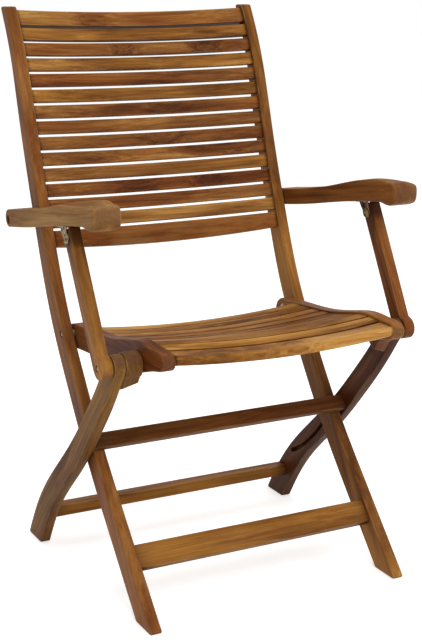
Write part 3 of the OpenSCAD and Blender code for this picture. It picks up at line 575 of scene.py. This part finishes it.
def softened(loop, radii):
    """A smooth closed outline: even steps between corners, and each corner rounded.
    radii is a function from a corner's place to its radius."""
    loop = thinned(loop, POINT_GAP)
    before, after = loop - np.roll(loop, 1, axis=0), np.roll(loop, -1, axis=0) - loop
    turn = np.arctan2(before[:, 0] * after[:, 1] - before[:, 1] * after[:, 0],
                      np.sum(before * after, axis=1))
    corners = [i for i in range(len(loop)) if abs(turn[i]) > CORNER_TURN]
    if not corners:
        closed = even(np.vstack([loop, loop[:1]]))
        return settled(closed, CLOSED_ROUNDS)[:-1]
    spans = []
    for k, i in enumerate(corners):
        j = corners[(k + 1) % len(corners)]
        span = (j - i) % len(loop) or len(loop)
        run = loop[[(i + m) % len(loop) for m in range(span + 1)]]
        run = settled(even(run), OPEN_ROUNDS)
        cut = [radii(loop[c]) * math.tan(min(abs(turn[c]), STEEPEST_TURN) / 2) for c in (i, j)]
        lengths = np.r_[0, np.cumsum(np.linalg.norm(np.diff(run, axis=0), axis=1))]
        room = lengths[-1] * CORNER_SHARE
        a, b = min(cut[0], room), lengths[-1] - min(cut[1], room)
        between = (lengths > a + CORNER_GAP) & (lengths < b - CORNER_GAP)
        places = np.r_[a, lengths[between], b]
        body = np.c_[np.interp(places, lengths, run[:, 0]), np.interp(places, lengths, run[:, 1])]
        spans.append((loop[i], body))
    points = []
    for k, (corner, body) in enumerate(spans):
        last = spans[k - 1][1][-1]
        for share in np.linspace(0, 1, CORNER_POINTS)[1:-1]:
            points.append((1 - share) ** 2 * last + 2 * share * (1 - share) * corner
                          + share ** 2 * body[0])
        points.extend(body)
    return np.array(points)


def inset_of(loop, distance):
    """The outline moved inwards by distance, along each point's own normal."""
    ahead = np.roll(loop, -1, axis=0) - np.roll(loop, 1, axis=0)
    ahead /= np.linalg.norm(ahead, axis=1)[:, None]
    return loop + distance * np.c_[-ahead[:, 1], ahead[:, 0]]


def rounded_board(loop, x0, x1, radius, hollows):
    """A board between the planes x0 < x1 with this outline and eased edges.
    hollows are (outline, side, depth): blind cuts from side -1 (the x0 face) or 1."""
    bm = bmesh.new()
    edge_layer = bm.verts.layers.float.new("edge")
    angles = [math.pi / 2 * k / EDGE_STEPS for k in range(EDGE_STEPS + 1)]
    rings = [(x0 + radius * (1 - math.sin(a)), radius * (1 - math.cos(a)), math.sin(2 * a))
             for a in reversed(angles)]
    rings.append(((x0 + x1) / 2, 0.0, 0.0))
    rings += [(x1 - radius * (1 - math.sin(a)), radius * (1 - math.cos(a)), math.sin(2 * a))
              for a in angles]
    made = []
    for x, inset, worn in rings:
        ring = []
        for y, z in inset_of(loop, inset):
            v = bm.verts.new((x, y, z))
            v[edge_layer] = worn
            ring.append(v)
        made.append(ring)
    for low, high in zip(made, made[1:]):
        for k in range(len(loop)):
            n = (k + 1) % len(loop)
            bm.faces.new((low[k], low[n], high[n], high[k]))
    for side, ring, x in ((-1, made[0], x0), (1, made[-1], x1)):
        cuts = [(np.array(cut), depth) for cut, where, depth in hollows if where == side]
        if not cuts:
            bm.faces.new(ring if side > 0 else ring[::-1])
            continue
        rim = [bm.edges.get((ring[k], ring[(k + 1) % len(ring)])) for k in range(len(ring))]
        for cut, depth in cuts:
            mouth = [bm.verts.new((x, y, z)) for y, z in cut]
            floor = [bm.verts.new((x - side * depth, y, z)) for y, z in cut]
            for k in range(len(cut)):
                n = (k + 1) % len(cut)
                rim.append(bm.edges.new((mouth[k], mouth[n])))
                bm.faces.new((mouth[k], mouth[n], floor[n], floor[k]))
            bm.faces.new(floor)
        bmesh.ops.triangle_fill(bm, use_beauty=True, use_dissolve=False, edges=rim)
    bmesh.ops.recalc_face_normals(bm, faces=bm.faces)
    for e in bm.edges:
        if len(e.link_faces) == 2 and e.calc_face_angle(0) > SHARP_TURN:
            e.smooth = False
    return bm


def planes_of(node):
    """The two planes across the width between which a board lies."""
    low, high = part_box(node)
    return low[0], high[0]


def levels_of(node):
    """How far from the chair's middle plane a node's vertices lie, to a hundredth of a mm."""
    return {round(abs(v.co.x), 5) for v in frame["nodes"][node].data.vertices}


def counterbores(node, outer, holes):
    """The sunk holes of a node's outer face, as hollows for rounded_board."""
    floor = max(x for x in levels_of(node) if x < abs(outer) - BORE_DEPTH)
    wide = [hole for hole in holes if np.ptp(hole[:, 1]) > BORE_WIDTH]
    return [(hole, 1 if outer > 0 else -1, abs(outer) - floor) for hole in wide]


def board(node, run, corner=BOARD_CORNER, radius=EDGE, hollows=()):
    """The rounded wood piece of a board-like node, from the outline of its outer face.
    corner is the radius of its corners, or a function from a corner's place to it."""
    x0, x1 = planes_of(node)
    outer = x1 if x1 > 0 else x0
    outline, *holes = loops_at(node, outer)
    radii = corner if callable(corner) else (lambda place: corner)
    loop = softened(outline, radii)
    cuts = list(hollows) + counterbores(node, outer, holes)
    add_piece(node, rounded_board(loop, x0, x1, radius, cuts), run)


def make_stiles():
    """Stiles: round shoulders and heels, and toes that are a little sharper."""
    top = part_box("left_stile")[1][2]
    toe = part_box("left_stile")[0][1]

    def corner(place):
        at_toe = place[1] <= top - SHOULDER_REACH and place[0] < toe + TOE_REACH
        return TOE_CORNER if at_toe else STILE_CORNER

    for side in SIDES:
        board(side + "_stile", STILE_RUN, corner)


def make_legs():
    """Rear legs, each with the blind groove for its pin in the inner face."""
    for side in SIDES:
        node = side + "_rear_leg"
        x0, x1 = planes_of(node)
        inner_side = -1 if side == "right" else 1
        inner = x0 if side == "right" else x1
        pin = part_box(side + "_groove_pin")
        tip = max(abs(pin[0][0]), abs(pin[1][0]))
        floor = min(x for x in levels_of(node) if x > tip + TIP_ROOM)
        depth = floor - abs(inner)
        groove = loops_at(node, math.copysign(floor, inner))[0]
        board(node, LEG_RUN, LEG_CORNER, hollows=[(groove, inner_side, depth)])


def eased_block(node, run, cell, rounds, soft_ahead=None):
    """The wood piece of a node that isn't a plain board: its frame mesh, remade with eased edges.
    What lies ahead of soft_ahead, in metres along Y, is a hand and is eased further."""
    rough = bpy.data.objects.new(node + "_rough", frame["nodes"][node].data.copy())
    bpy.context.scene.collection.objects.link(rough)
    remade = rough.modifiers.new("remade", "REMESH")
    remade.mode = "VOXEL"
    remade.voxel_size = cell
    smooth = rough.modifiers.new("smooth", "SMOOTH")
    smooth.factor = 0.5
    smooth.iterations = rounds
    mesh = bpy.data.meshes.new_from_object(
        rough.evaluated_get(bpy.context.evaluated_depsgraph_get()))
    bm = bmesh.new()
    bm.from_mesh(mesh)
    bpy.data.objects.remove(rough)
    bpy.data.meshes.remove(mesh)
    if soft_ahead is not None:
        hand = [v for v in bm.verts if v.co.y < soft_ahead]
        for _ in range(HAND_ROUNDS):
            bmesh.ops.smooth_vert(bm, verts=hand, factor=0.5, use_axis_x=True, use_axis_y=True,
                                  use_axis_z=True)
    bm.normal_update()
    edge_layer = bm.verts.layers.float.new("edge")
    for v in bm.verts:
        turn = max((v.normal.angle(f.normal, 0.0) for f in v.link_faces), default=0.0)
        v[edge_layer] = min(max((turn - WORN_FROM) / WORN_SPAN, 0.0), 1.0)
    add_piece(node, bm, run)


def make_rails():
    """Seat rails, spacers and arm supports."""
    for side in SIDES:
        board(side + "_seat_rail", RAIL_RUN)
        eased_block(side + "_spacer", SPACER_RUN, SPACER_CELL, SPACER_ROUNDS)
        board(side + "_arm_support", SUPPORT_RUN, SUPPORT_CORNER, SUPPORT_EDGE)


def section_at(node, x):
    """The closed outline of a slat's cross-section where it meets the plane at x."""
    hull = bmesh.new()
    for v in frame["nodes"][node].data.vertices:
        if abs(v.co.x - x) < SAME_PLANE:
            hull.verts.new((0, v.co.y, v.co.z))
    bmesh.ops.remove_doubles(hull, verts=hull.verts, dist=SAME_POINT)
    bmesh.ops.convex_hull(hull, input=hull.verts)
    points = np.array([v.co[1:] for v in hull.verts if v.link_faces])
    hull.free()
    away = points - points.mean(axis=0)
    return points[np.argsort(np.arctan2(away[:, 1], away[:, 0]))]


def long_way_of(section):
    """The direction of a section's longer side, from the box that fits it most closely."""
    best = None
    for a, b in zip(section, np.roll(section, -1, axis=0)):
        span = np.linalg.norm(b - a)
        if span < LEAST_SIDE:
            continue
        way = (b - a) / span
        side = np.array([-way[1], way[0]])
        long, wide = np.ptp(section @ way), np.ptp(section @ side)
        if best is None or long * wide < best[0]:
            best = (long * wide, way if long >= wide else side)
    return best[1] if best[1][1] >= 0 else -best[1]


def slat(node, end_x, parts=BOWED_PARTS, belly=False, shade=0.0):
    """A straight or bowed slat between two boards, from its section and its frame node's reach.
    With a belly its lower side hangs lower in the middle. shade is painted shade on its narrow
    sides, which face other pieces across narrow gaps."""
    section = section_at(node, end_x)
    data = np.array([v.co for v in frame["nodes"][node].data.vertices])[:, 1:]
    long_way = long_way_of(section)
    thin_way = np.array([long_way[1], -long_way[0]])
    high = np.max(data @ thin_way) - np.max(section @ thin_way)
    low = np.min(section @ thin_way) - np.min(data @ thin_way)
    bow = high if high > low else -low
    drop = np.min(section @ long_way) - np.min(data @ long_way) if belly else 0.0
    half = end_x + BURY
    bm = bmesh.new()
    edge_layer = bm.verts.layers.float.new("edge")
    painted_shade_layer = bm.verts.layers.float.new("side")
    middle = np.array([(np.max(section @ way) + np.min(section @ way)) / 2
                       for way in (long_way, thin_way)])
    flat_long = np.abs(section @ long_way - middle[0])
    flat_thin = np.abs(section @ thin_way - middle[1])
    # Narrow sides, which take the painted shade of the gaps
    narrow = flat_long > flat_long.max() - NARROW_REACH
    worn = ((flat_long > flat_long.max() - WORN_REACH)
            & (flat_thin > flat_thin.max() - WORN_REACH))
    rings = []
    for k in range(parts + 1):
        x = -half + 2 * half * k / parts
        rise = 1 - (min(abs(x), end_x) / end_x) ** 2
        ring = []
        for (y, z), on_edge, on_side in zip(section, worn, narrow):
            place = np.array((y, z)) + thin_way * bow * rise
            if np.array((y, z)) @ long_way < middle[0]:
                place = place - long_way * drop * rise
            v = bm.verts.new((x, place[0], place[1]))
            v[edge_layer] = float(on_edge)
            v[painted_shade_layer] = float(on_side) * shade
            ring.append(v)
        rings.append(ring)
    for low_ring, high_ring in zip(rings, rings[1:]):
        for k in range(len(section)):
            n = (k + 1) % len(section)
            bm.faces.new((low_ring[k], low_ring[n], high_ring[n], high_ring[k]))
    bm.faces.new(rings[0][::-1])
    bm.faces.new(rings[-1])
    bmesh.ops.recalc_face_normals(bm, faces=bm.faces)
    add_piece(node, bm, SLAT_RUN)


def make_slats():
    """Crest rail, slats and bars, each from the inner face of one side board to the other's."""
    stile_in = planes_of("right_stile")[0]
    rail_in = planes_of("right_seat_rail")[0]
    leg_in = planes_of("right_rear_leg")[0]
    # Painted shade on narrow sides: deepest in the gaps of the crest, top slat and seat slats
    slat("crest_rail", stile_in, shade=DEEP_PAINTED_SHADE)
    slat("back_bottom_rail", stile_in, belly=True)
    slat("front_stretcher", stile_in, STRAIGHT_PARTS)
    slat("middle_stretcher", leg_in, STRAIGHT_PARTS)
    slat("rear_stretcher", leg_in, STRAIGHT_PARTS)
    for node in sorted(BODY):
        if node.startswith("back_slat_"):
            slat(node, stile_in, shade=DEEP_PAINTED_SHADE if node == "back_slat_1" else BACK_SLAT_PAINTED_SHADE)
        if node.startswith("seat_slat_"):
            slat(node, rail_in, shade=0.0 if node == "seat_slat_1" else DEEP_PAINTED_SHADE)


def make_arms():
    """Arms: their hands start ahead of the brackets' rivets."""
    for side in SIDES:
        hand_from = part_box(side + "_bracket_rivet")[0][1]
        eased_block(side + "_arm", ARM_RUN, ARM_CELL, ARM_ROUNDS, hand_from)


def dress_metal():
    """Fittings keep the frame's meshes, in bolt steel or bracket steel."""
    for node, obj in frame["nodes"].items():
        if SLOT[node] in STEELS:
            obj.data.materials.clear()
            obj.data.materials.append(STEELS[SLOT[node]])


def make_camera():
    """The camera that was fitted to the photograph."""
    data = bpy.data.cameras.new("camera")
    data.sensor_width = SENSOR
    data.lens = SENSOR * CAMERA_FOCAL / PHOTO_HEIGHT
    data.shift_x = (PHOTO_WIDTH / 2 - CAMERA_AXIS[0]) / PHOTO_HEIGHT
    data.shift_y = (CAMERA_AXIS[1] - PHOTO_HEIGHT / 2) / PHOTO_HEIGHT
    camera = bpy.data.objects.new("camera", data)
    yaw, pitch, roll = (math.radians(a) for a in (CAMERA_YAW, CAMERA_PITCH, CAMERA_ROLL))
    forward = Vector((math.sin(yaw) * math.cos(pitch), math.cos(yaw) * math.cos(pitch),
                      math.sin(pitch)))
    level = Vector((math.cos(yaw), -math.sin(yaw), 0))
    up = level.cross(forward)
    right = level * math.cos(roll) + up * math.sin(roll)
    up = up * math.cos(roll) - level * math.sin(roll)
    camera.matrix_world = Matrix.Translation(CAMERA_AT) @ Matrix(
        (right, up, -forward)).transposed().to_4x4()
    bpy.context.scene.collection.objects.link(camera)
    bpy.context.scene.camera = camera


def make_stage():
    """A floor that looks white but keeps the chair's shadow, and a white surround."""
    bpy.ops.mesh.primitive_plane_add(size=FLOOR_SIDE, location=(0, 0, FLOOR_HEIGHT))
    floor = bpy.context.object
    floor.name = "floor"
    t = Tree(bpy.data.materials.new("white_floor"))
    matte = t.node("ShaderNodeBsdfDiffuse", {"Color": (FLOOR_GREY, FLOOR_GREY, FLOOR_GREY, 1)})
    glow = t.node("ShaderNodeEmission", {
        "Color": WHITE, "Strength": t.math("MULTIPLY", t.seen(), FLOOR_GLOW)})
    both = t.node("ShaderNodeAddShader", {0: matte.outputs[0], 1: glow.outputs[0]})
    t.node("ShaderNodeOutputMaterial", {0: both.outputs[0]})
    floor.data.materials.append(t.owner)

    bpy.context.scene.world = bpy.data.worlds.new("surround")
    t = Tree(bpy.context.scene.world)
    light = t.node("ShaderNodeBackground", {"Color": WHITE, "Strength": SURROUND_LIGHT})
    white = t.node("ShaderNodeBackground", {"Color": WHITE, "Strength": 1.0})
    either = t.node("ShaderNodeMixShader", {0: t.seen(), 1: light.outputs[0], 2: white.outputs[0]})
    t.node("ShaderNodeOutputWorld", {0: either.outputs[0]})


def make_lights():
    """Square area lamps."""
    for name, (place, aim, side, power) in LAMPS.items():
        data = bpy.data.lights.new(name, "AREA")
        data.shape = "SQUARE"
        data.size = side
        data.energy = power
        lamp = bpy.data.objects.new(name, data)
        lamp.location = place
        lamp.rotation_euler = (Vector(aim) - Vector(place)).to_track_quat("-Z", "Y").to_euler()
        bpy.context.scene.collection.objects.link(lamp)


make_stiles()
make_legs()
make_rails()
make_slats()
make_arms()
dress_metal()
make_camera()
make_stage()
make_lights()
bpy.context.scene.view_settings.view_transform = "Standard"
